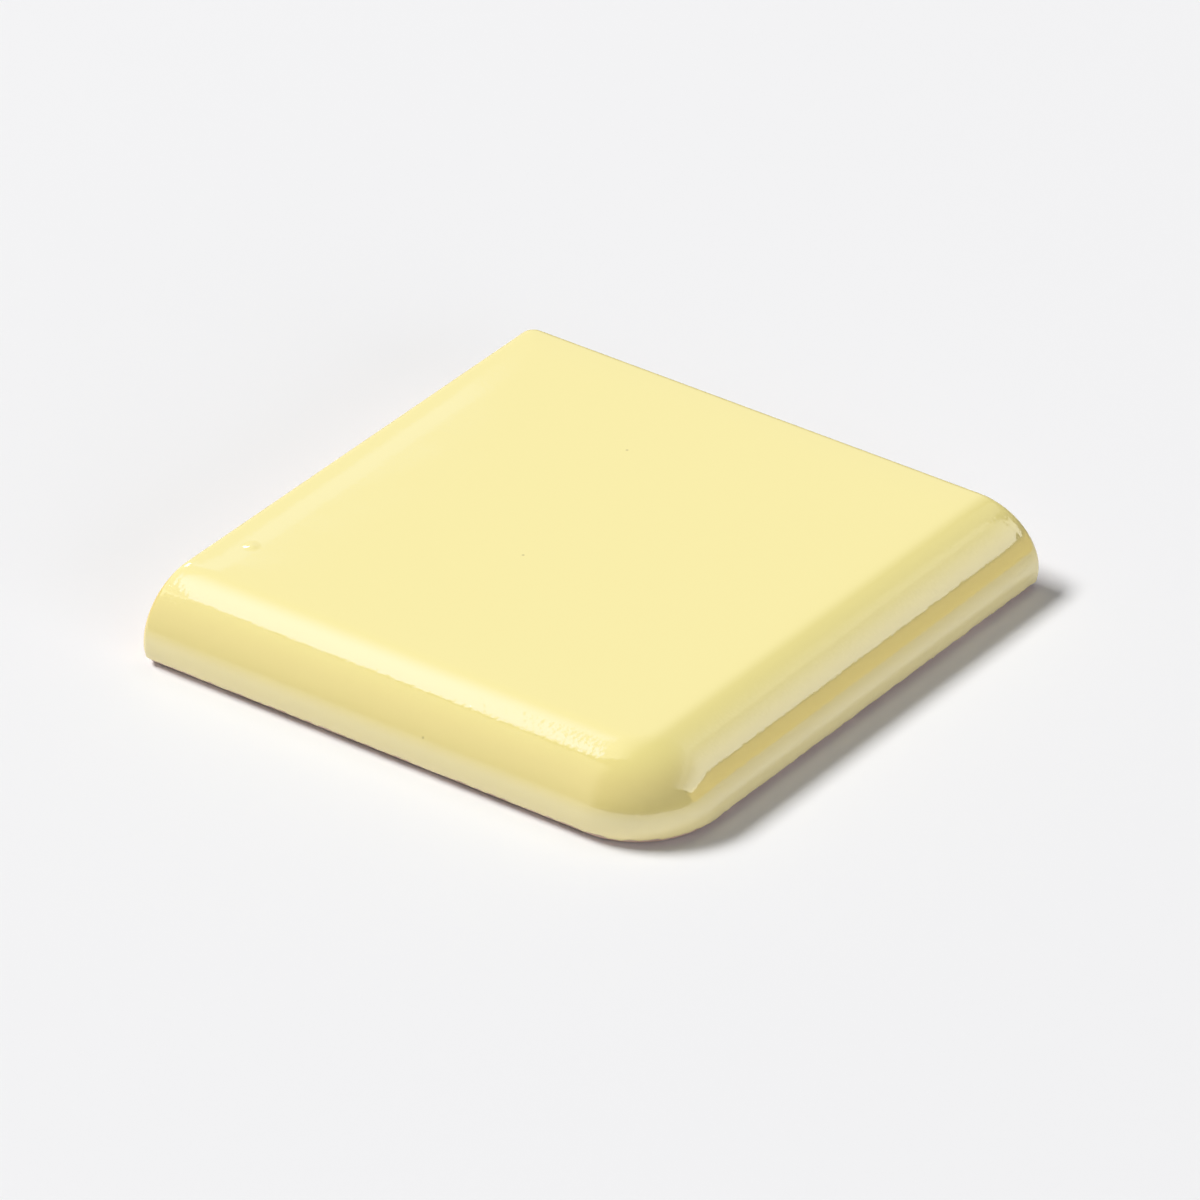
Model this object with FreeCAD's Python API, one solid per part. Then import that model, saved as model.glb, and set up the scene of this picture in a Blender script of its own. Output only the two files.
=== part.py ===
"""Double bullnose wall tile: one fired ceramic piece, glazed over its face and two rounded edges.

The tile lies on its back. Its front (-Y) and right (+X) edges are rounded over and meet in a
rounded corner. Its left (-X) and rear (+Y) edges are plain joint faces that butt against other
tiles. All sizes are in millimetres. The origin is the centre of the back's outline, and +Z points
out of the face.
"""

import FreeCAD
import Part
import math
import os

from FreeCAD import Vector

# Overall size
TILE_LENGTH = 98.4  # along X, from the left joint face to the widest line of the right nose
TILE_WIDTH = 98.4  # along Y, from the widest line of the front nose to the rear joint face
TILE_THICKNESS = 13.2  # from the back to the flat of the face

# Section of the rounded edges
NOSE_RUN = 11.5  # from the widest line in to where the face turns flat
WIDEST_HEIGHT = 3.5  # height of the widest line above the back
FOOT_SETBACK = 2.0  # from the widest line in to where the back turns flat
CREST_TURN = 45.0  # degrees that the arc next to the face turns through, before the one below it
CREST_CORNER_RADIUS = 3.0  # plan radius left to the flat of the face at the rounded corner

# Joint faces
JOINT_ARRIS_RADIUS = 1.3  # eases the whole outline of the two joint faces
REAR_CORNER_RADIUS = 2.2  # upright corner between the two joint faces

# Key pockets pressed into the back, for the adhesive to grip
POCKET_MOUTH = 10.4  # side of each square mouth
POCKET_DEPTH = 1.0
POCKET_LEAN = 0.7  # each wall leans in this far from mouth to floor
POCKET_CORNER_RADIUS = 1.6  # rounds the four corners of each pocket
RIB_WIDTH = 3.0  # between neighbouring pockets
BACK_BORDER = 7.0  # least plain border between the pockets and the flat back's sides

CORNER_RADIUS = NOSE_RUN + CREST_CORNER_RADIUS  # at the widest line

NODE = "bullnose_tile"

UP = Vector(0, 0, 1)
TOUCH = 1e-4  # closer than this, an edge counts as lying in a plane


def quarter_turn(flat_end, upright_end):
    """Two tangent arcs in the YZ plane, level at one end and upright at the other."""
    run = abs(upright_end.y - flat_end.y)
    drop = abs(upright_end.z - flat_end.z)
    out = (upright_end.y - flat_end.y) / run
    down = (upright_end.z - flat_end.z) / drop
    turn = math.radians(CREST_TURN)
    share = math.sin(turn) + math.cos(turn) - 1
    first_radius = (run * math.cos(turn) - drop * (1 - math.sin(turn))) / share
    second_radius = (drop * math.sin(turn) - run * (1 - math.cos(turn))) / share

    def on_first(angle):
        across = first_radius * math.sin(angle)
        fall = first_radius * (1 - math.cos(angle))
        return flat_end + Vector(0, out * across, down * fall)

    def on_second(angle):
        across = second_radius * (1 - math.sin(angle))
        rise = second_radius * math.cos(angle)
        return upright_end - Vector(0, out * across, down * rise)

    between = (turn + math.pi / 2) / 2
    return [
        Part.Arc(flat_end, on_first(turn / 2), on_first(turn)).toShape(),
        Part.Arc(on_first(turn), on_second(between), upright_end).toShape(),
    ]


def nose_section():
    """Section of a rounded edge in the YZ plane: the widest line is at Y = 0, the tile at +Y."""
    widest = Vector(0, 0, WIDEST_HEIGHT)
    crest = Vector(0, NOSE_RUN, TILE_THICKNESS)
    inner_top = Vector(0, CORNER_RADIUS, TILE_THICKNESS)
    inner_foot = Vector(0, CORNER_RADIUS, 0)
    foot = Vector(0, FOOT_SETBACK, 0)
    outline = quarter_turn(crest, widest) + quarter_turn(foot, widest)
    outline += [
        Part.makeLine(crest, inner_top),
        Part.makeLine(inner_top, inner_foot),
        Part.makeLine(inner_foot, foot),
    ]
    return Part.Face(Part.Wire(Part.sortEdges(outline)[0]))


def front_nose():
    """The rounded front edge, from the left joint face to the corner."""
    return nose_section().extrude(Vector(TILE_LENGTH - CORNER_RADIUS, 0, 0))


def corner_nose():
    """The rounded corner: the same section, turned a quarter about an upright axis."""
    section = nose_section().translated(Vector(TILE_LENGTH - CORNER_RADIUS, 0, 0))
    return section.revolve(Vector(TILE_LENGTH - CORNER_RADIUS, CORNER_RADIUS, 0), UP, 90)


def right_nose():
    """The rounded right edge, from the corner to the rear joint face."""
    section = nose_section().rotated(Vector(0, 0, 0), UP, 90)
    section = section.translated(Vector(TILE_LENGTH, CORNER_RADIUS, 0))
    return section.extrude(Vector(0, TILE_WIDTH - CORNER_RADIUS, 0))


def field():
    """The flat rest of the tile, behind both rounded edges."""
    length = TILE_LENGTH - CORNER_RADIUS
    width = TILE_WIDTH - CORNER_RADIUS
    return Part.makeBox(length, width, TILE_THICKNESS, Vector(0, CORNER_RADIUS, 0))


def blank():
    """The whole tile with sharp joint faces and a plain back."""
    joined = front_nose().fuse([corner_nose(), right_nose(), field()])
    return joined.removeSplitter().Solids[0]


def is_joint_side(face):
    """Whether a face is one of the two joint faces or the rounded corner between them."""
    box = face.BoundBox
    nearest = TILE_WIDTH - REAR_CORNER_RADIUS
    return box.XMax < REAR_CORNER_RADIUS + TOUCH or box.YMin > nearest - TOUCH


def with_eased_joints(tile):
    """Rounds the upright rear corner, then the whole outline of the two joint faces."""
    left_face_edges = [edge for edge in tile.Edges if edge.BoundBox.XMax < TOUCH]
    corner = [edge for edge in left_face_edges if edge.BoundBox.YMin > TILE_WIDTH - TOUCH]
    tile = tile.makeFillet(REAR_CORNER_RADIUS, corner)
    edges = [edge for face in tile.Faces if is_joint_side(face) for edge in face.Edges]
    outline = [edge for edge in edges if sum(edge.isSame(other) for other in edges) == 1]
    return tile.makeFillet(JOINT_ARRIS_RADIUS, outline)


def pocket():
    """One key pocket as a solid, centred on the Z axis, its mouth in the plane of the back."""
    mouth = POCKET_MOUTH / 2
    floor = mouth - POCKET_LEAN
    frustum = Part.makeWedge(-mouth, 0, -mouth, -floor, -floor, mouth, POCKET_DEPTH, mouth, floor, floor)
    frustum.rotate(Vector(0, 0, 0), Vector(1, 0, 0), 90)
    corners = [edge for edge in frustum.Edges if edge.BoundBox.ZLength > POCKET_DEPTH / 2]
    return frustum.makeFillet(POCKET_CORNER_RADIUS, corners)


def pocket_centres(low, high):
    """Places of a row of pockets, centred on the flat stretch of the back from low to high."""
    pitch = POCKET_MOUTH + RIB_WIDTH
    count = int((high - low - 2 * BACK_BORDER + RIB_WIDTH) / pitch)
    first = (low + high - (count - 1) * pitch) / 2
    return [first + index * pitch for index in range(count)]


def pockets():
    """All key pockets of the back."""
    across = pocket_centres(JOINT_ARRIS_RADIUS, TILE_LENGTH - FOOT_SETBACK)
    along = pocket_centres(FOOT_SETBACK, TILE_WIDTH - JOINT_ARRIS_RADIUS)
    return [pocket().translated(Vector(x, y, 0)) for x in across for y in along]


def bullnose_tile():
    """The finished tile, with the centre of its back's outline at the origin."""
    tile = with_eased_joints(blank()).cut(pockets())
    return tile.Solids[0].translated(Vector(-TILE_LENGTH / 2, -TILE_WIDTH / 2, 0))


def main():
    """Builds the tile and writes it as one piece."""
    os.makedirs("parts", exist_ok=True)
    tile = bullnose_tile()
    print("valid:", tile.isValid(), "faces:", len(tile.Faces), "volume:", round(tile.Volume, 1))
    tile.exportStep("parts/" + NODE + ".step")


main()
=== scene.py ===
"""A double bullnose wall tile on a pale studio floor.

The tile is one fired piece: a buff clay body with a thick, glossy, butter yellow glaze over its face
and its two rounded edges. The glaze ends in a ragged bead low on the rounded edges and a little way
down the two joint faces. The body below that line, the joint faces and the back are bare.
All lengths are in metres.
"""

import logging
import math
from dataclasses import dataclass
from enum import Enum
from typing import Any, Callable

import bmesh
import bpy
from mathutils import Matrix, Vector


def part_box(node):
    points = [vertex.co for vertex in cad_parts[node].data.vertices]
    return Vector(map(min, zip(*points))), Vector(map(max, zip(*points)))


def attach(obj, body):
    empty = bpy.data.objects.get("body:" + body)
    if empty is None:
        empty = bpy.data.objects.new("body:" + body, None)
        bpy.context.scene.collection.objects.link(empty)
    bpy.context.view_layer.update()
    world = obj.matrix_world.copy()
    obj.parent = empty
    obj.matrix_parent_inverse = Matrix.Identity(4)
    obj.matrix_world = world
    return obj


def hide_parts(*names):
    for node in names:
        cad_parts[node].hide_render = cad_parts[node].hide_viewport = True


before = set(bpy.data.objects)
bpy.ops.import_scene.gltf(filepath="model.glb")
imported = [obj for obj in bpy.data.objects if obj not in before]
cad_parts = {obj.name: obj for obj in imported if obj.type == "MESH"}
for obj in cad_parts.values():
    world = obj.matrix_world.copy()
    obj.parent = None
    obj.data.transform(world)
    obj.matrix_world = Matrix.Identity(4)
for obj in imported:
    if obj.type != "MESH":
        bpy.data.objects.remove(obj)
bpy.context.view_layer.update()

MM = 0.001
NODE = "bullnose_tile"
LOG = logging.getLogger("tile")

TOUCH = 0.01 * MM  # places closer than this are the same
SQUARE = 0.01  # a part of a unit normal under this counts as none
UPRIGHT = 0.05  # the same for how far a normal may tip on an upright face
FLAT = 0.999  # a part of a unit normal over this counts as all of it
CLOUD_DEPTH = 2  # times that a cloudy pattern is refined
CLOUD_MIDDLE = 0.5  # the value of a cloudy pattern that stays in place


class Element(Enum):
    """The kinds of mesh element that can be selected, with the edit mode's name and bmesh's name."""

    VERTEX = ("VERT", "verts")
    EDGE = ("EDGE", "edges")
    FACE = ("FACE", "faces")


class Finish(Enum):
    """Order of the material slots on the tile."""

    GLAZE = 0
    BISQUE = 1


def linear(code: str) -> tuple[float, float, float, float]:
    """Turns an sRGB hex colour into linear red, green, blue and alpha.

    Args:
        code: six hex digits, such as "FCF1AA".

    Returns:
        The four linear channels, with alpha 1.
    """
    channels = [int(code[i : i + 2], 16) / 255 for i in (0, 2, 4)]
    low, gamma = 0.04045, 2.4
    rgb = [c / 12.92 if c <= low else ((c + 0.055) / 1.055) ** gamma for c in channels]
    return (rgb[0], rgb[1], rgb[2], 1.0)


def add_node(tree: bpy.types.NodeTree, kind: str, links: dict[Any, Any], **settings: Any) -> bpy.types.Node:
    """Adds a node with its settings, socket values and links.

    Args:
        tree: the node tree that gets it.
        kind: the node's type name.
        links: per input socket, another node's output socket or a plain value.
        settings: attributes of the node itself.

    Returns:
        The new node.
    """
    node = tree.nodes.new(kind)
    for name, value in settings.items():
        setattr(node, name, value)
    for socket, value in links.items():
        if isinstance(value, bpy.types.NodeSocket):
            tree.links.new(value, node.inputs[socket])
        else:
            node.inputs[socket].default_value = value
    return node


def select_where(piece: bpy.types.Object, element: Element, test: Callable[[Any], bool]) -> None:
    """Selects the elements of a piece in edit mode that pass a test, and nothing else.

    Args:
        piece: the object in edit mode.
        element: the kind of element to go through.
        test: says whether one element is selected.
    """
    mode, name = element.value
    bpy.ops.mesh.select_mode(type=mode)
    bpy.ops.mesh.select_all(action="DESELECT")
    mesh = bmesh.from_edit_mesh(piece.data)
    mesh.normal_update()
    passed = [item for item in getattr(mesh, name) if not item.hide and test(item)]
    for item in passed:
        item.select_set(True)
    mesh.select_flush_mode()
    bmesh.update_edit_mesh(piece.data)


def touching(a: float, b: float) -> bool:
    """Whether two places along an axis are the same."""
    return abs(a - b) < TOUCH


def weigh(piece: bpy.types.Object, name: str, weight: Callable[[Any], float]) -> None:
    """Fills a vertex group of a piece in object mode.

    Args:
        piece: the object.
        name: the group's name.
        weight: gives the weight of a vertex, from 0 to 1.
    """
    group = piece.vertex_groups.new(name=name)
    for vertex in piece.data.vertices:
        share = weight(vertex)
        if share > 0:
            group.add([vertex.index], min(share, 1.0), "REPLACE")


def displace(
    piece: bpy.types.Object, group: str, direction: str, strength: float, grain: float | None = None
) -> None:
    """Moves the vertices of a group by a cloudy pattern, or evenly, and applies it.

    Args:
        piece: the object, in object mode.
        group: the vertex group that scales the move.
        direction: NORMAL or an axis.
        strength: the move at full weight, and for a pattern from its darkest to its brightest.
        grain: size of the pattern's clouds, or None for an even move.
    """
    modifier = piece.modifiers.new("displace", "DISPLACE")
    modifier.vertex_group = group
    modifier.direction = direction
    modifier.strength = strength
    modifier.mid_level = 0.0
    if grain is not None:
        clouds = bpy.data.textures.new(f"clouds_{group}", "CLOUDS")
        clouds.noise_scale = grain
        clouds.noise_depth = CLOUD_DEPTH
        modifier.texture = clouds
        modifier.texture_coords = "LOCAL"
        modifier.mid_level = CLOUD_MIDDLE
    bpy.ops.object.modifier_apply(modifier=modifier.name)


@dataclass(frozen=True)
class ButterGlaze:
    """Opaque gloss lead-rich glaze, poured and fired: a thick coloured glass over the whole tile.

    It is smooth and wet-looking, and reflects more than plain glass. A faint orange peel breaks up
    the edges of its reflections. Its colour is deeper part way down the rounded edges, where painted
    shade stands for their turning from the light, paler low on them, a painted reflection of the
    floor, and warmest where it thins out next to the joint faces.
    """

    name: str = "gloss_lead_glaze"
    face: str = "F9EB96"
    # painted shade: a deeper colour on the noses' flanks, where they turn from the light
    flank_shade: str = "F2E08F"
    # painted reflection: a paler colour low on the noses that stands for the floor reflected there
    floor_sheen: str = "F8E9A8"
    thin: str = "F4CF85"
    # below this height the glaze has the paler colour of the painted floor reflection
    floor_sheen_height: float = 4.2 * MM
    # between these heights the glaze has the deeper colour of the painted flank shade
    flank_shade_low: float = 6.8 * MM
    flank_shade_high: float = 9.0 * MM
    arris_reach: float = 1.0 * MM
    arris_share: float = 0.8  # of the thin colour, at the joint faces themselves
    roughness: float = 0.04
    ior: float = 1.9
    peel_size: float = 0.7 * MM  # finer on a real tile, and drawn this coarse to show
    peel_height: float = 0.014 * MM
    peel_detail: float = 1.0
    peel_roughness: float = 0.3
    face_peel: float = 0.2  # of its strength on the rounded edges
    calm_start: float = 1.2 * MM  # below the face, where the peel starts to weaken
    calm_end: float = 0.4 * MM
    ripple_size: float = 7.0 * MM
    ripple_height: float = 0.008 * MM
    pinhole: str = "CDBC74"
    pinhole_reach: float = 0.35 * MM
    pinholes: tuple[tuple[float, float, float], ...] = (
        (-13.6 * MM, 27.0 * MM, 13.2 * MM),
        (-7.9 * MM, -7.0 * MM, 13.2 * MM),
        (4.8 * MM, -48.6 * MM, 6.5 * MM),
    )
    blister: tuple[float, float, float] = (-43.1 * MM, -29.0 * MM, 13.2 * MM)
    blister_reach: float = 1.6 * MM
    blister_height: float = 0.13 * MM

    def spot(
        self,
        tree: bpy.types.NodeTree,
        place: bpy.types.NodeSocket,
        centre: tuple[float, float, float],
        reach: float,
    ) -> bpy.types.NodeSocket:
        """Marks a round spot on the glaze.

        Args:
            tree: the material's nodes.
            place: the object coordinates.
            centre: the middle of the spot.
            reach: its radius.

        Returns:
            A value that eases from 1 in the middle to 0 at the rim.
        """
        away = add_node(tree, "ShaderNodeVectorMath", {0: place, 1: centre}, operation="DISTANCE")
        near = {"Value": away.outputs["Value"], 1: 0.0, 2: reach, 3: 1.0, 4: 0.0}
        return add_node(tree, "ShaderNodeMapRange", near, interpolation_type="SMOOTHSTEP").outputs[0]

    def build(self, low: Vector, high: Vector) -> bpy.types.Material:
        """Makes the material for a tile that fills a box.

        Args:
            low: the tile's lowest corner.
            high: the tile's highest corner.

        Returns:
            The material.
        """
        material = bpy.data.materials.new(self.name)
        material.use_nodes = True
        tree = material.node_tree
        shader = tree.nodes["Principled BSDF"]
        place = add_node(tree, "ShaderNodeTexCoord", {}).outputs["Object"]
        axes = add_node(tree, "ShaderNodeSeparateXYZ", {0: place})
        height = add_node(tree, "ShaderNodeMapRange", {"Value": axes.outputs[2], 1: 0.0, 2: high.z})
        body = add_node(tree, "ShaderNodeValToRGB", {0: height.outputs[0]})
        ramp = body.color_ramp
        ramp.interpolation = "EASE"
        stops = (
            # painted floor reflection, paler, low on the noses
            (self.floor_sheen_height, self.floor_sheen),
            # painted shade, deeper, on the flanks of the noses
            (self.flank_shade_low, self.flank_shade),
            (self.flank_shade_high, self.flank_shade),
            (high.z, self.face),
        )
        while len(ramp.elements) < len(stops):
            ramp.elements.new(0.5)
        for element, (level, colour) in zip(ramp.elements, stops):
            element.position = level / high.z
            element.color = linear(colour)
        left = add_node(tree, "ShaderNodeMath", {0: axes.outputs[0], 1: low.x}, operation="SUBTRACT")
        rear = add_node(tree, "ShaderNodeMath", {0: high.y, 1: axes.outputs[1]}, operation="SUBTRACT")
        sides = {0: left.outputs[0], 1: rear.outputs[0]}
        nearest = add_node(tree, "ShaderNodeMath", sides, operation="MINIMUM")
        thinning = add_node(
            tree,
            "ShaderNodeMapRange",
            {"Value": nearest.outputs[0], 1: 0.0, 2: self.arris_reach, 3: self.arris_share, 4: 0.0},
        )
        colour = add_node(
            tree,
            "ShaderNodeMix",
            {0: thinning.outputs[0], 6: body.outputs[0], 7: linear(self.thin)},
            data_type="RGBA",
        )
        for centre in self.pinholes:
            hole = self.spot(tree, place, centre, self.pinhole_reach)
            stained = {0: hole, 6: colour.outputs[2], 7: linear(self.pinhole)}
            colour = add_node(tree, "ShaderNodeMix", stained, data_type="RGBA")
        tree.links.new(colour.outputs[2], shader.inputs["Base Color"])
        shader.inputs["Roughness"].default_value = self.roughness
        shader.inputs["IOR"].default_value = self.ior
        peel = add_node(
            tree,
            "ShaderNodeTexNoise",
            {
                "Vector": place,
                "Scale": 1 / self.peel_size,
                "Detail": self.peel_detail,
                "Roughness": self.peel_roughness,
            },
        )
        ripple = add_node(
            tree,
            "ShaderNodeTexNoise",
            {"Vector": place, "Scale": 1 / self.ripple_size, "Detail": 0.0},
        )
        start, end = high.z - self.calm_start, high.z - self.calm_end
        calm = {"Value": axes.outputs[2], 1: start, 2: end, 3: 1.0, 4: self.face_peel}
        strength = add_node(tree, "ShaderNodeMapRange", calm)
        fine = add_node(
            tree,
            "ShaderNodeBump",
            {"Height": peel.outputs[0], "Distance": self.peel_height, "Strength": strength.outputs[0]},
        )
        broad = add_node(
            tree,
            "ShaderNodeBump",
            {"Height": ripple.outputs[0], "Distance": self.ripple_height, "Normal": fine.outputs[0]},
        )
        swelling = self.spot(tree, place, self.blister, self.blister_reach)
        raised = {"Height": swelling, "Distance": self.blister_height, "Normal": broad.outputs[0]}
        swollen = add_node(tree, "ShaderNodeBump", raised)
        tree.links.new(swollen.outputs[0], shader.inputs["Normal"])
        return material


@dataclass(frozen=True)
class BuffBisque:
    """Bare earthenware bisque, dust-pressed and fired once: dry, matt, finely granular and buff."""

    name: str = "buff_earthenware_bisque"
    light: str = "E3C9B6"
    dark: str = "CBAF9B"
    speck: str = "A5836C"
    cloud_size: float = 9 * MM
    cloud_detail: float = 4.0
    cloud_roughness: float = 0.6
    cloud_low: float = 0.35  # values of the cloudy pattern that are light and dark all through
    cloud_high: float = 0.65
    grain_size: float = 0.45 * MM  # finer on real biscuit ware, and drawn this coarse to show
    grain_height: float = 0.06 * MM
    grain_detail: float = 3.0
    grain_roughness: float = 0.65
    speck_pitch: float = 1.6 * MM  # between specks
    speck_core: float = 0.06  # radius of a speck's core and rim, as shares of the pitch
    speck_rim: float = 0.14
    speck_share: float = 0.6
    roughness: float = 0.9
    specular: float = 0.25

    def build(self) -> bpy.types.Material:
        """Makes the material."""
        material = bpy.data.materials.new(self.name)
        material.use_nodes = True
        tree = material.node_tree
        shader = tree.nodes["Principled BSDF"]
        place = add_node(tree, "ShaderNodeTexCoord", {}).outputs["Object"]
        cloud = add_node(
            tree,
            "ShaderNodeTexNoise",
            {
                "Vector": place,
                "Scale": 1 / self.cloud_size,
                "Detail": self.cloud_detail,
                "Roughness": self.cloud_roughness,
            },
        )
        shades = {"Value": cloud.outputs[0], 1: self.cloud_low, 2: self.cloud_high}
        depth = add_node(tree, "ShaderNodeMapRange", shades)
        body = add_node(
            tree,
            "ShaderNodeMix",
            {0: depth.outputs[0], 6: linear(self.light), 7: linear(self.dark)},
            data_type="RGBA",
        )
        specks = add_node(tree, "ShaderNodeTexVoronoi", {"Vector": place, "Scale": 1 / self.speck_pitch})
        away = specks.outputs[0]
        rims = {"Value": away, 1: self.speck_core, 2: self.speck_rim, 3: self.speck_share, 4: 0.0}
        spots = add_node(tree, "ShaderNodeMapRange", rims)
        colour = add_node(
            tree,
            "ShaderNodeMix",
            {0: spots.outputs[0], 6: body.outputs[2], 7: linear(self.speck)},
            data_type="RGBA",
        )
        tree.links.new(colour.outputs[2], shader.inputs["Base Color"])
        shader.inputs["Roughness"].default_value = self.roughness
        shader.inputs["Specular IOR Level"].default_value = self.specular
        grain = add_node(
            tree,
            "ShaderNodeTexNoise",
            {
                "Vector": place,
                "Scale": 1 / self.grain_size,
                "Detail": self.grain_detail,
                "Roughness": self.grain_roughness,
            },
        )
        bump = add_node(tree, "ShaderNodeBump", {"Height": grain.outputs[0], "Distance": self.grain_height})
        tree.links.new(bump.outputs[0], shader.inputs["Normal"])
        return material


@dataclass(frozen=True)
class MattPaper:
    """Matt white background paper: an even, dull, pale grey white."""

    name: str = "matt_background_paper"
    colour: str = "F3F3F3"
    roughness: float = 1.0

    def build(self) -> bpy.types.Material:
        """Makes the material."""
        material = bpy.data.materials.new(self.name)
        material.use_nodes = True
        shader = material.node_tree.nodes["Principled BSDF"]
        shader.inputs["Base Color"].default_value = linear(self.colour)
        shader.inputs["Roughness"].default_value = self.roughness
        shader.inputs["Specular IOR Level"].default_value = 0.0
        return material


@dataclass
class GlazedTile:
    """The tile: a clay body with two rounded edges, its glaze, and the key pockets in its back."""

    low: Vector
    high: Vector
    glaze_thickness: float = 0.3 * MM
    nose_run: float = 11.5 * MM
    nose_steps: int = 28
    widest_height: float = 3.5 * MM
    foot_setback: float = 2.0 * MM
    foot_steps: int = 12
    foot_land: float = 0.005 * MM  # left upright under the widest line, so that the foot clears it
    corner_radius: float = 14.5 * MM
    corner_steps: int = 32
    rear_corner_radius: float = 2.2 * MM
    rear_corner_steps: int = 8
    joint_arris: float = 1.0 * MM
    arris_steps: int = 4
    overlap: float = 1.1 * MM
    weld: float = 0.02 * MM
    grid_pitch: float = 0.6 * MM
    bisect_reach: float = 0.0001 * MM  # within which a cut takes a vertex that is there
    lip_height: float = 1.45 * MM
    lip_swing: float = 1.6 * MM  # full height of the glaze line's wander on the joint faces
    lip_grain: float = 1.2 * MM
    nose_swing_share: float = 0.7  # of that wander, on the rounded edges
    joint_band: float = 0.1 * MM  # next to the body's joint faces, where the line counts as theirs
    bead_radius: float = 0.16 * MM
    bead_steps: int = 3
    pillow_reach: float = 7.5 * MM
    pillow_drop: float = 0.19 * MM
    pocket_mouth: float = 10.4 * MM
    pocket_depth: float = 1.0 * MM
    pocket_lean: float = 0.7 * MM
    pocket_corner: float = 1.6 * MM
    pocket_corner_steps: int = 5
    pocket_pitch: float = 13.4 * MM
    pocket_rows: int = 6
    pocket_centre: tuple[float, float] = (-0.35 * MM, 0.35 * MM)
    smooth_angle: float = 35.0  # degrees, above which an edge stays sharp

    def __post_init__(self) -> None:
        """Works out the body's own faces from the tile's box and the glaze."""
        coat = self.glaze_thickness
        self.left = self.low.x + coat
        self.right = self.high.x - coat
        self.front = self.low.y + coat
        self.rear = self.high.y - coat
        self.top = self.high.z - coat
        self.run = self.nose_run - coat
        self.drop = self.top - self.widest_height

    def add_block(self) -> None:
        """Adds the block of clay that the body is shaped from."""
        bpy.ops.object.select_all(action="DESELECT")
        bpy.ops.mesh.primitive_cube_add(
            size=1,
            location=((self.left + self.right) / 2, (self.front + self.rear) / 2, self.top / 2),
            scale=(self.right - self.left, self.rear - self.front, self.top),
        )
        self.piece = bpy.context.object
        self.piece.name = "glazed_tile"
        self.piece.data.name = "glazed_tile"
        bpy.ops.object.transform_apply(location=True, rotation=True, scale=True)

    def round_plan(self) -> None:
        """Rounds the upright corner between the noses, and the one between the joint faces."""

        def upright(x: float, y: float) -> Callable[[Any], bool]:
            return lambda edge: all(touching(v.co.x, x) and touching(v.co.y, y) for v in edge.verts)

        select_where(self.piece, Element.EDGE, upright(self.right, self.front))
        radius = self.corner_radius - self.glaze_thickness
        bpy.ops.mesh.bevel(offset=radius, segments=self.corner_steps, affect="EDGES", clamp_overlap=False)
        select_where(self.piece, Element.EDGE, upright(self.left, self.rear))
        radius = self.rear_corner_radius - self.glaze_thickness
        steps = self.rear_corner_steps
        bpy.ops.mesh.bevel(offset=radius, segments=steps, affect="EDGES", clamp_overlap=False)

    def nosed_side(self, face: Any) -> bool:
        """Whether a face is upright and belongs to the front, the right side or the corner between."""
        normal = face.normal
        return abs(normal.z) < UPRIGHT and normal.x > -SQUARE and normal.y < SQUARE

    def joint_side(self, face: Any) -> bool:
        """Whether a face is upright and belongs to the left side, the rear or the corner between."""
        normal = face.normal
        return abs(normal.z) < SQUARE and normal.x < SQUARE and normal.y > -SQUARE

    def nosed_rim(self, height: float) -> Callable[[Any], bool]:
        """Gives a test for the edges of the nosed sides that lie level at a height."""
        return lambda edge: all(touching(v.co.z, height) for v in edge.verts) and any(
            self.nosed_side(face) for face in edge.link_faces
        )

    def round_noses(self) -> None:
        """Rolls the face over into the two noses, then turns their feet under.

        A bevel is round, so the tile is stretched first until the nose is as high as it is deep,
        and squashed for the foot.
        """
        stretch = self.run / self.drop
        bpy.ops.mesh.select_all(action="SELECT")
        bpy.ops.transform.resize(value=(1, 1, stretch), center_override=(0, 0, 0))
        select_where(self.piece, Element.EDGE, self.nosed_rim(self.top * stretch))
        bpy.ops.mesh.bevel(offset=self.run, segments=self.nose_steps, affect="EDGES", clamp_overlap=False)
        bpy.ops.mesh.select_all(action="SELECT")
        bpy.ops.transform.resize(value=(1, 1, 1 / stretch), center_override=(0, 0, 0))
        squash = self.foot_setback / self.widest_height
        bpy.ops.mesh.select_all(action="SELECT")
        bpy.ops.transform.resize(value=(1, 1, squash), center_override=(0, 0, 0))
        select_where(self.piece, Element.EDGE, self.nosed_rim(0.0))
        foot = self.foot_setback - self.foot_land
        bpy.ops.mesh.bevel(offset=foot, segments=self.foot_steps, affect="EDGES", clamp_overlap=False)
        bpy.ops.mesh.select_all(action="SELECT")
        bpy.ops.transform.resize(value=(1, 1, 1 / squash), center_override=(0, 0, 0))
        bpy.ops.mesh.remove_doubles(threshold=self.weld)

    def ease_joints(self) -> None:
        """Eases the whole outline of the joint faces, then marks how far the glaze laps onto them."""
        select_where(self.piece, Element.FACE, self.joint_side)
        bpy.ops.mesh.region_to_loop()
        steps = self.arris_steps
        bpy.ops.mesh.bevel(offset=self.joint_arris, segments=steps, affect="EDGES", clamp_overlap=False)
        select_where(self.piece, Element.FACE, self.joint_side)
        bpy.ops.mesh.inset(thickness=self.overlap, depth=0, use_even_offset=True)
        self.piece.active_material_index = Finish.BISQUE.value
        bpy.ops.object.material_slot_assign()

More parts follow.
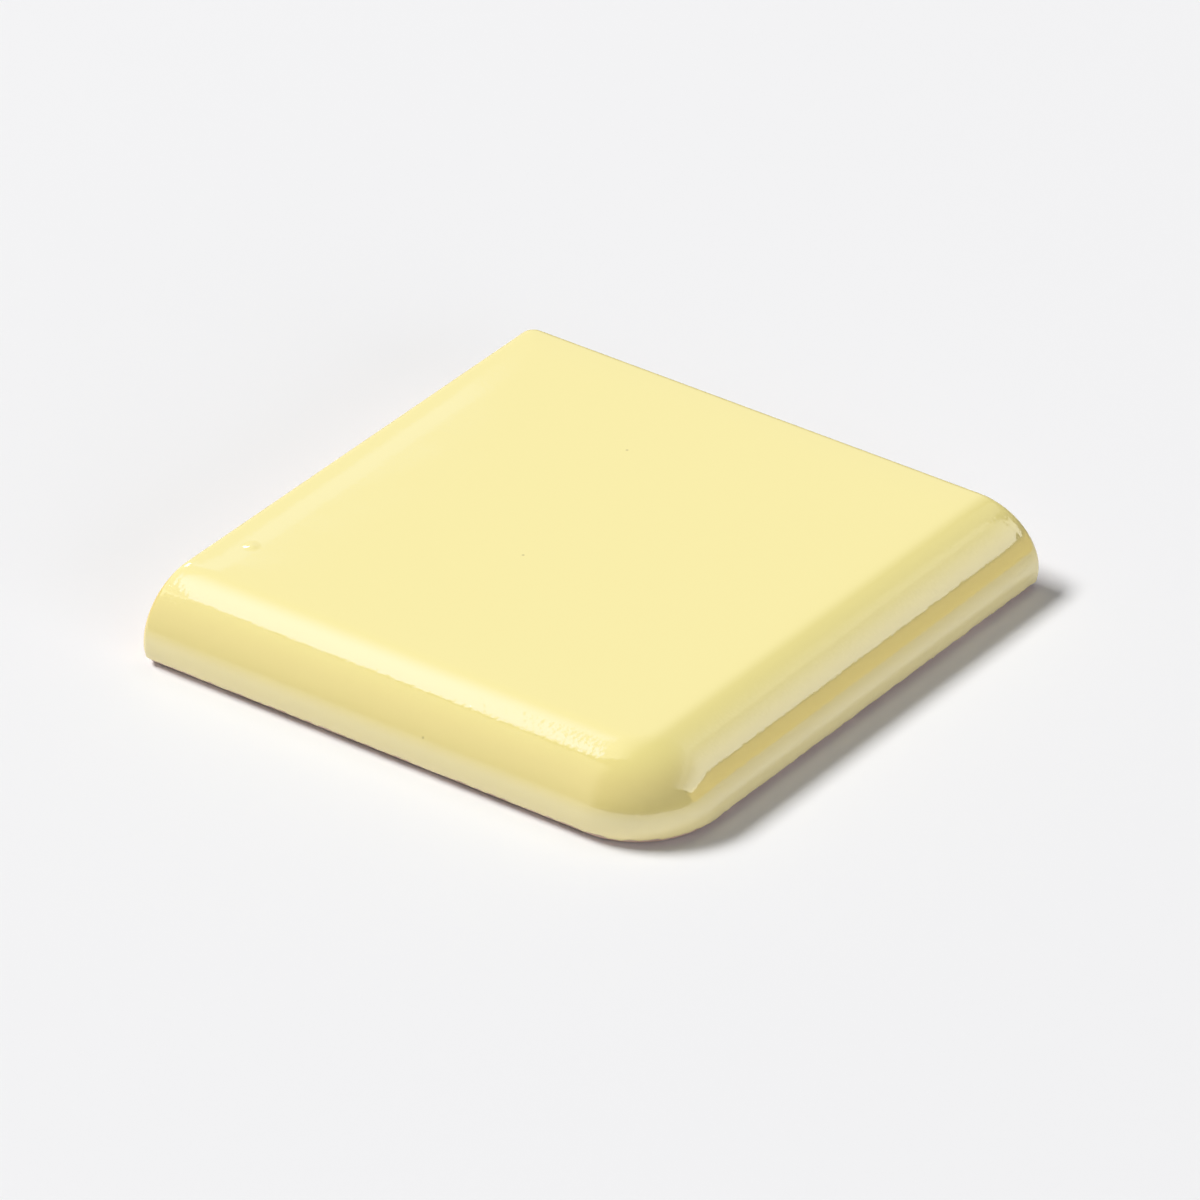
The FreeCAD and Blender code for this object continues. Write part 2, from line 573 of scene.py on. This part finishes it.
    def cut_grid(self) -> None:
        """Divides the face, the noses and the joint faces evenly, and leaves the back whole."""
        select_where(self.piece, Element.FACE, lambda face: face.normal.z < -FLAT)
        bpy.ops.mesh.hide()
        spans = (
            (Vector((1, 0, 0)), self.left + self.joint_arris, self.right - self.corner_radius),
            (Vector((0, 1, 0)), self.front + self.corner_radius, self.rear - self.joint_arris),
        )
        for axis, start, end in spans:
            count = round((end - start) / self.grid_pitch)
            for index in range(1, count):
                place = start + (end - start) * index / count
                bpy.ops.mesh.select_all(action="SELECT")
                bpy.ops.mesh.bisect(plane_co=axis * place, plane_no=axis, threshold=self.bisect_reach)
        bpy.ops.mesh.reveal(select=False)

    def bare(self, face: Any) -> bool:
        """Whether a face lies below the glaze: under its line, or low down away from the noses."""
        centre = face.calc_center_median()
        if centre.z < self.lip_height or face.material_index == Finish.BISQUE.value:
            return True
        from_nose = min(centre.y - self.front, self.right - centre.x)
        return centre.z < self.widest_height and from_nose > 2 * self.widest_height

    def draw_glaze_line(self) -> None:
        """Gives the bare faces their own finish, and lets the line between wander."""
        select_where(self.piece, Element.FACE, self.bare)
        self.piece.active_material_index = Finish.BISQUE.value
        bpy.ops.object.material_slot_assign()
        bpy.ops.mesh.region_to_loop()
        mesh = bmesh.from_edit_mesh(self.piece.data)
        line = {vertex.index for vertex in mesh.verts if vertex.select}
        bpy.ops.object.mode_set(mode="OBJECT")
        bpy.ops.object.duplicate()
        shape = bpy.context.object
        bpy.ops.object.select_all(action="DESELECT")
        bpy.context.view_layer.objects.active = self.piece
        self.piece.select_set(True)

        def weight(vertex: Any) -> float:
            if vertex.index not in line:
                return 0.0
            from_joint = min(vertex.co.x - self.left, self.rear - vertex.co.y)
            return 1.0 if from_joint < self.joint_band else self.nose_swing_share

        weigh(self.piece, "glaze_line", weight)
        displace(self.piece, "glaze_line", "Z", self.lip_swing, self.lip_grain)
        wrap = self.piece.modifiers.new("wrap", "SHRINKWRAP")
        wrap.target = shape
        wrap.wrap_method = "NEAREST_SURFACEPOINT"
        wrap.vertex_group = "glaze_line"
        bpy.ops.object.modifier_apply(modifier=wrap.name)
        bpy.data.objects.remove(shape)
        bpy.ops.object.mode_set(mode="EDIT")

    def raise_glaze(self) -> None:
        """Builds the glaze up to its thickness and rounds its rim into a bead."""
        select_where(self.piece, Element.FACE, lambda face: face.material_index == Finish.GLAZE.value)
        bpy.ops.mesh.extrude_region_shrink_fatten(
            TRANSFORM_OT_shrink_fatten={"value": self.glaze_thickness}
        )
        bpy.ops.mesh.region_to_loop()
        steps = self.bead_steps
        bpy.ops.mesh.bevel(offset=self.bead_radius, segments=steps, affect="EDGES", clamp_overlap=True)

    def pillow(self) -> None:
        """Lets the glaze draw back a little from the joint faces, as it does when it melts."""
        bpy.ops.object.mode_set(mode="OBJECT")

        def weight(vertex: Any) -> float:
            if vertex.co.z < self.lip_height:
                return 0.0
            away = min(vertex.co.x - self.low.x, self.high.y - vertex.co.y)
            facing_joint = max(-vertex.normal.x, vertex.normal.y, 0.0)
            return max(1 - away / self.pillow_reach, 0.0) ** 2 * (1 - facing_joint)

        weigh(self.piece, "pillow", weight)
        displace(self.piece, "pillow", "NORMAL", -self.pillow_drop)

    def press_pockets(self) -> None:
        """Presses the key pockets into the back with one shaped punch and its copies."""
        bpy.ops.object.select_all(action="DESELECT")
        start_x = self.pocket_centre[0] - self.pocket_pitch * (self.pocket_rows - 1) / 2
        start_y = self.pocket_centre[1] - self.pocket_pitch * (self.pocket_rows - 1) / 2
        bpy.ops.mesh.primitive_cube_add(
            size=1,
            location=(start_x, start_y, 0),
            scale=(self.pocket_mouth, self.pocket_mouth, 2 * self.pocket_depth),
        )
        punch = bpy.context.object
        bpy.ops.object.transform_apply(location=True, rotation=True, scale=True)
        for slot in self.piece.material_slots:
            punch.data.materials.append(slot.material)
        bpy.ops.object.mode_set(mode="EDIT")
        bpy.ops.mesh.select_all(action="SELECT")
        punch.active_material_index = Finish.BISQUE.value
        bpy.ops.object.material_slot_assign()
        upright = self.pocket_depth
        select_where(punch, Element.EDGE, lambda e: abs(e.verts[0].co.z - e.verts[1].co.z) > upright)
        bpy.ops.mesh.bevel(offset=self.pocket_corner, segments=self.pocket_corner_steps, affect="EDGES")
        share = 1 - 2 * self.pocket_lean / self.pocket_mouth
        for height, scale in ((self.pocket_depth, share), (-self.pocket_depth, 2 - share)):
            select_where(punch, Element.VERTEX, lambda v, z=height: touching(v.co.z, z))
            bpy.ops.transform.resize(value=(scale, scale, 1), center_override=(start_x, start_y, 0))
        bpy.ops.object.mode_set(mode="OBJECT")
        for axis, shift in ((0, (self.pocket_pitch, 0, 0)), (1, (0, self.pocket_pitch, 0))):
            array = punch.modifiers.new("array", "ARRAY")
            array.count = self.pocket_rows
            array.use_relative_offset = False
            array.use_constant_offset = True
            array.constant_offset_displace = shift
            bpy.ops.object.modifier_apply(modifier=array.name)
        bpy.ops.object.select_all(action="DESELECT")
        bpy.context.view_layer.objects.active = self.piece
        self.piece.select_set(True)
        cut = self.piece.modifiers.new("cut", "BOOLEAN")
        cut.operation = "DIFFERENCE"
        cut.solver = "EXACT"
        cut.object = punch
        bpy.ops.object.modifier_apply(modifier=cut.name)
        bpy.data.objects.remove(punch)

    def fill_box(self) -> None:
        """Brings the finished tile to its exact overall size."""
        bpy.ops.object.mode_set(mode="EDIT")
        bpy.ops.mesh.select_all(action="SELECT")
        places = [vertex.co for vertex in bmesh.from_edit_mesh(self.piece.data).verts]
        low = Vector([min(place[axis] for place in places) for axis in range(3)])
        high = Vector([max(place[axis] for place in places) for axis in range(3)])
        scale = [(self.high[i] - self.low[i]) / (high[i] - low[i]) for i in range(3)]
        bpy.ops.transform.resize(value=scale, center_override=low)
        bpy.ops.transform.translate(value=self.low - low)
        bpy.ops.mesh.normals_make_consistent(inside=False)
        bpy.ops.object.mode_set(mode="OBJECT")

    def build(self) -> bpy.types.Object:
        """Models and dresses the tile.

        Returns:
            The finished piece.
        """
        self.add_block()
        self.piece.data.materials.append(ButterGlaze().build(self.low, self.high))
        self.piece.data.materials.append(BuffBisque().build())
        bpy.ops.object.mode_set(mode="EDIT")
        self.round_plan()
        self.round_noses()
        self.ease_joints()
        self.cut_grid()
        self.draw_glaze_line()
        self.raise_glaze()
        self.pillow()
        self.press_pockets()
        self.fill_box()
        bpy.ops.object.shade_smooth_by_angle(angle=math.radians(self.smooth_angle))
        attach(self.piece, "root")
        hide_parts(NODE)
        return self.piece


@dataclass
class Softbox:
    """A flat lamp that faces the tile from a direction, seen only in reflections or only on surfaces.

    Its width lies along a given direction, and its height square to that. Its brightness can fade
    out over its height, from one share of it to another. Flags, such as a photographer's black
    cards, can then mask it along slanting lines: it is dark where a * across + b * up exceeds c
    for every flag, in metres from where it is aimed.
    """

    name: str
    toward: tuple[float, float, float]
    along: tuple[float, float, float]
    width: float
    height: float
    radiance: float
    fade: tuple[float, float] = (1.0, 1.0)
    flags: tuple[tuple[float, float, float], ...] = ()
    offset: tuple[float, float] = (0.0, 0.0)
    colour: str = "FFFFFF"
    distance: float = 4.0
    lights_surfaces: bool = False

    def shape_light(self, lamp: bpy.types.Light) -> None:
        """Makes the lamp's brightness fall off over its height, and masks it with the flags.

        Args:
            lamp: the lamp that is shaped.
        """
        lamp.use_nodes = True
        tree = lamp.node_tree
        place = add_node(tree, "ShaderNodeNewGeometry", {}).outputs["Parametric"]
        axes = add_node(tree, "ShaderNodeSeparateXYZ", {0: place})
        start, end = self.fade
        level = add_node(
            tree,
            "ShaderNodeMapRange",
            {"Value": axes.outputs[1], 1: start, 2: end, 3: 1.0, 4: 0.0},
            interpolation_type="SMOOTHSTEP",
        )
        strength = level.outputs[0]
        if self.flags:
            dark: bpy.types.NodeSocket | float = 1.0
            for a, b, c in self.flags:
                lean = (a * self.width, b * self.height, 0)
                edge = c + (lean[0] + lean[1]) / 2 - a * self.offset[0] - b * self.offset[1]
                reach = add_node(
                    tree, "ShaderNodeVectorMath", {0: place, 1: lean}, operation="DOT_PRODUCT"
                )
                beyond = {0: reach.outputs["Value"], 1: edge}
                past = add_node(tree, "ShaderNodeMath", beyond, operation="GREATER_THAN")
                both = {0: past.outputs[0], 1: dark}
                dark = add_node(tree, "ShaderNodeMath", both, operation="MULTIPLY").outputs[0]
            lit = add_node(tree, "ShaderNodeMath", {0: 1.0, 1: dark}, operation="SUBTRACT")
            shares = {0: strength, 1: lit.outputs[0]}
            strength = add_node(tree, "ShaderNodeMath", shares, operation="MULTIPLY").outputs[0]
        tree.links.new(strength, tree.nodes["Emission"].inputs["Strength"])

    def build(self) -> None:
        """Adds the lamp to the scene."""
        lamp = bpy.data.lights.new(self.name, "AREA")
        lamp.shape = "RECTANGLE"
        lamp.size = self.width
        lamp.size_y = self.height
        lamp.energy = self.radiance * self.width * self.height * math.pi
        lamp.color = linear(self.colour)[:3]
        if self.fade[0] < 1:
            self.shape_light(lamp)
        holder = bpy.data.objects.new(self.name, lamp)
        bpy.context.scene.collection.objects.link(holder)
        out = Vector(self.toward).normalized()
        side = Vector(self.along)
        side = (side - out * side.dot(out)).normalized()
        turn = Matrix((side, out.cross(side), out)).transposed()
        place = out * self.distance + side * self.offset[0] + out.cross(side) * self.offset[1]
        holder.matrix_world = Matrix.Translation(place) @ turn.to_4x4()
        holder.visible_camera = False
        holder.visible_glossy = not self.lights_surfaces
        holder.visible_diffuse = self.lights_surfaces


@dataclass
class Studio:
    """The floor, the even light of the room, the lamps that light surfaces, and the softboxes."""

    floor_size: float = 30.0
    room_low: float = 0.02  # the room's brightness near the horizon
    room_high: float = 0.14  # and overhead
    room_rise: tuple[float, float] = (0.1, 0.6)  # sines of the elevations between which it grows
    room_tint: str = "F4F6FF"
    lamp_distance: float = 16.0
    lamp_aspect: float = 0.6  # height of a lamp over its width

    def lay_floor(self) -> None:
        """Lays the floor, a plain sheet of paper under the tile."""
        bpy.ops.object.select_all(action="DESELECT")
        bpy.ops.mesh.primitive_plane_add(size=self.floor_size, location=(0, 0, 0))
        floor = bpy.context.object
        floor.name = "floor"
        floor.data.materials.append(MattPaper().build())

    def light_room(self) -> None:
        """Gives the room its soft light, weaker near the horizon than overhead."""
        world = bpy.data.worlds.new("room")
        world.use_nodes = True
        tree = world.node_tree
        background = tree.nodes["Background"]
        background.inputs["Color"].default_value = linear(self.room_tint)
        place = add_node(tree, "ShaderNodeTexCoord", {}).outputs["Generated"]
        axes = add_node(tree, "ShaderNodeSeparateXYZ", {0: place})
        low, high = self.room_rise
        level = add_node(
            tree,
            "ShaderNodeMapRange",
            {"Value": axes.outputs[2], 1: low, 2: high, 3: self.room_low, 4: self.room_high},
            interpolation_type="SMOOTHSTEP",
        )
        tree.links.new(level.outputs[0], background.inputs["Strength"])
        bpy.context.scene.world = world

    def hang_lamp(
        self, name: str, azimuth: float, elevation: float, size: float, radiance: float, colour: str
    ) -> None:
        """Hangs a lamp that lights surfaces.

        Args:
            name: the lamp's name.
            azimuth: degrees from +X towards +Y.
            elevation: degrees above the floor.
            size: its width.
            radiance: its brightness.
            colour: its colour.
        """
        a, e = math.radians(azimuth), math.radians(elevation)
        Softbox(
            name,
            toward=(math.cos(a) * math.cos(e), math.sin(a) * math.cos(e), math.sin(e)),
            along=(-math.sin(a), math.cos(a), 0),
            width=size,
            height=self.lamp_aspect * size,
            radiance=radiance,
            colour=colour,
            distance=self.lamp_distance,
            lights_surfaces=True,
        ).build()

    def hang_softboxes(self) -> None:
        """Hangs the softboxes, each of which shows as one reflection in the glaze."""
        blue_sky = "84B1FF"
        gold_card = "FFDB7F"
        rear_right = (0.456, 0.596, 0.661)
        rear_right_level = (-0.805, 0.593, 0.021)
        Softbox(  # the bright strip along the front nose
            "strip",
            toward=(-0.550, 0.172, 0.817),
            along=(1, 0.0185, -0.0039),
            width=0.44,
            height=3.3,
            radiance=1.95,
            fade=(0.364, 0.924),
            flags=((2.16, -1.0, 1.32),),
            offset=(-0.025, 0.35),
            colour=blue_sky,
        ).build()
        Softbox(  # the faint streak along the left joint, where the glaze draws back
            "window",
            toward=(-0.560, 0.656, 0.506),
            along=(0.476, 0.754, -0.451),
            width=1.1,
            height=0.15,
            radiance=0.5,
            offset=(-0.44, 0.0),
            colour=blue_sky,
        ).build()
        Softbox(  # the pale band along the right nose
            "side",
            toward=rear_right,
            along=rear_right_level,
            width=7.0,
            height=2.53,
            radiance=2.3,
            fade=(0.13, 1.0),
            flags=((1.03, -1.0, 1.30), (2.25, -1.0, 0.95)),
            offset=(0.0, -0.065),
            colour="FFFEF4",
        ).build()
        Softbox(  # the sheen above that band, from just behind the other lamp, so that neither hides
            "glow",
            toward=rear_right,
            along=rear_right_level,
            width=7.0,
            height=1.55,
            radiance=0.4,
            fade=(0.0, 1.0),
            offset=(0.0, 1.2),
            distance=4.02,
        ).build()
        Softbox(  # the spark on the blister
            "glint",
            toward=(-0.649, 0.551, 0.524),
            along=(1, 0, 0),
            width=0.35,
            height=0.5,
            radiance=7.0,
        ).build()
        Softbox(  # the golden shade below the band
            "card",
            toward=(0.741, 0.644, 0.191),
            along=(-0.656, 0.755, 0),
            width=5.0,
            height=2.2,
            radiance=1.4,
            fade=(0.8, 1.0),
            offset=(0.0, -0.15),
            colour=gold_card,
        ).build()
        Softbox(  # the soft sheen around the strip and over the left of the face
            "sky",
            toward=(-0.611, 0.419, 0.672),
            along=(0.107, -0.798, 0.594),
            width=5.6,
            height=4.4,
            radiance=0.92,
            fade=(0.62, 0.96),
        ).build()
        Softbox(  # the soft sheen low on the front nose
            "front",
            toward=(-0.615, -0.634, 0.469),
            along=(0, -0.714, -0.701),
            width=5.3,
            height=4.4,
            radiance=0.5,
            fade=(0.62, 0.96),
        ).build()

    def build(self) -> None:
        """Sets up the studio."""
        self.lay_floor()
        self.light_room()
        self.hang_lamp("key", azimuth=195, elevation=51, size=6.8, radiance=29.7, colour="FFFFFF")
        self.hang_lamp("fill", azimuth=340, elevation=12, size=12.8, radiance=3.15, colour="EEEFFC")
        self.hang_lamp("rear", azimuth=92, elevation=64, size=6.0, radiance=2.6, colour="FFF9EC")
        self.hang_softboxes()


@dataclass
class PhotoCamera:
    """The camera of the photograph: a long lens, slightly rolled, that looks down at the tile."""

    azimuth: float = 37.429
    elevation: float = 31.889
    roll: float = -0.929
    distance: float = 18 * 98.4 * MM  # 18 sides of the tile
    lens: float = 347.89
    sensor: float = 36.0
    shift: tuple[float, float] = (0.0054, 0.02084)
    clip: tuple[float, float] = (0.1, 100.0)

    def build(self) -> None:
        """Adds the camera and makes it the scene's."""
        data = bpy.data.cameras.new("camera")
        data.lens = self.lens
        data.sensor_width = self.sensor
        data.shift_x, data.shift_y = self.shift
        data.clip_start, data.clip_end = self.clip
        a = math.radians(self.azimuth)
        e = math.radians(self.elevation)
        roll = math.radians(self.roll)
        back = Vector((math.sin(a) * math.cos(e), -math.cos(a) * math.cos(e), math.sin(e)))
        level = Vector((math.cos(a), math.sin(a), 0))
        up = back.cross(level)
        side = level * math.cos(roll) + up * math.sin(roll)
        top = up * math.cos(roll) - level * math.sin(roll)
        camera = bpy.data.objects.new("camera", data)
        bpy.context.scene.collection.objects.link(camera)
        turn = Matrix((side, top, back)).transposed()
        camera.matrix_world = Matrix.Translation(back * self.distance) @ turn.to_4x4()
        bpy.context.scene.camera = camera


def main() -> None:
    """Builds the tile, the studio and the camera, and reports each."""
    logging.basicConfig(level=logging.INFO, format="%(message)s")
    low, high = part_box(NODE)
    tile = GlazedTile(low, high).build()
    LOG.info("%s: %d faces", tile.name, len(tile.data.polygons))
    Studio().build()
    LOG.info("studio: floor, room light, lamps and softboxes")
    PhotoCamera().build()
    LOG.info("camera: in the photograph's place")
    bpy.context.scene.view_settings.view_transform = "Standard"


if __name__ == "__main__":
    main()
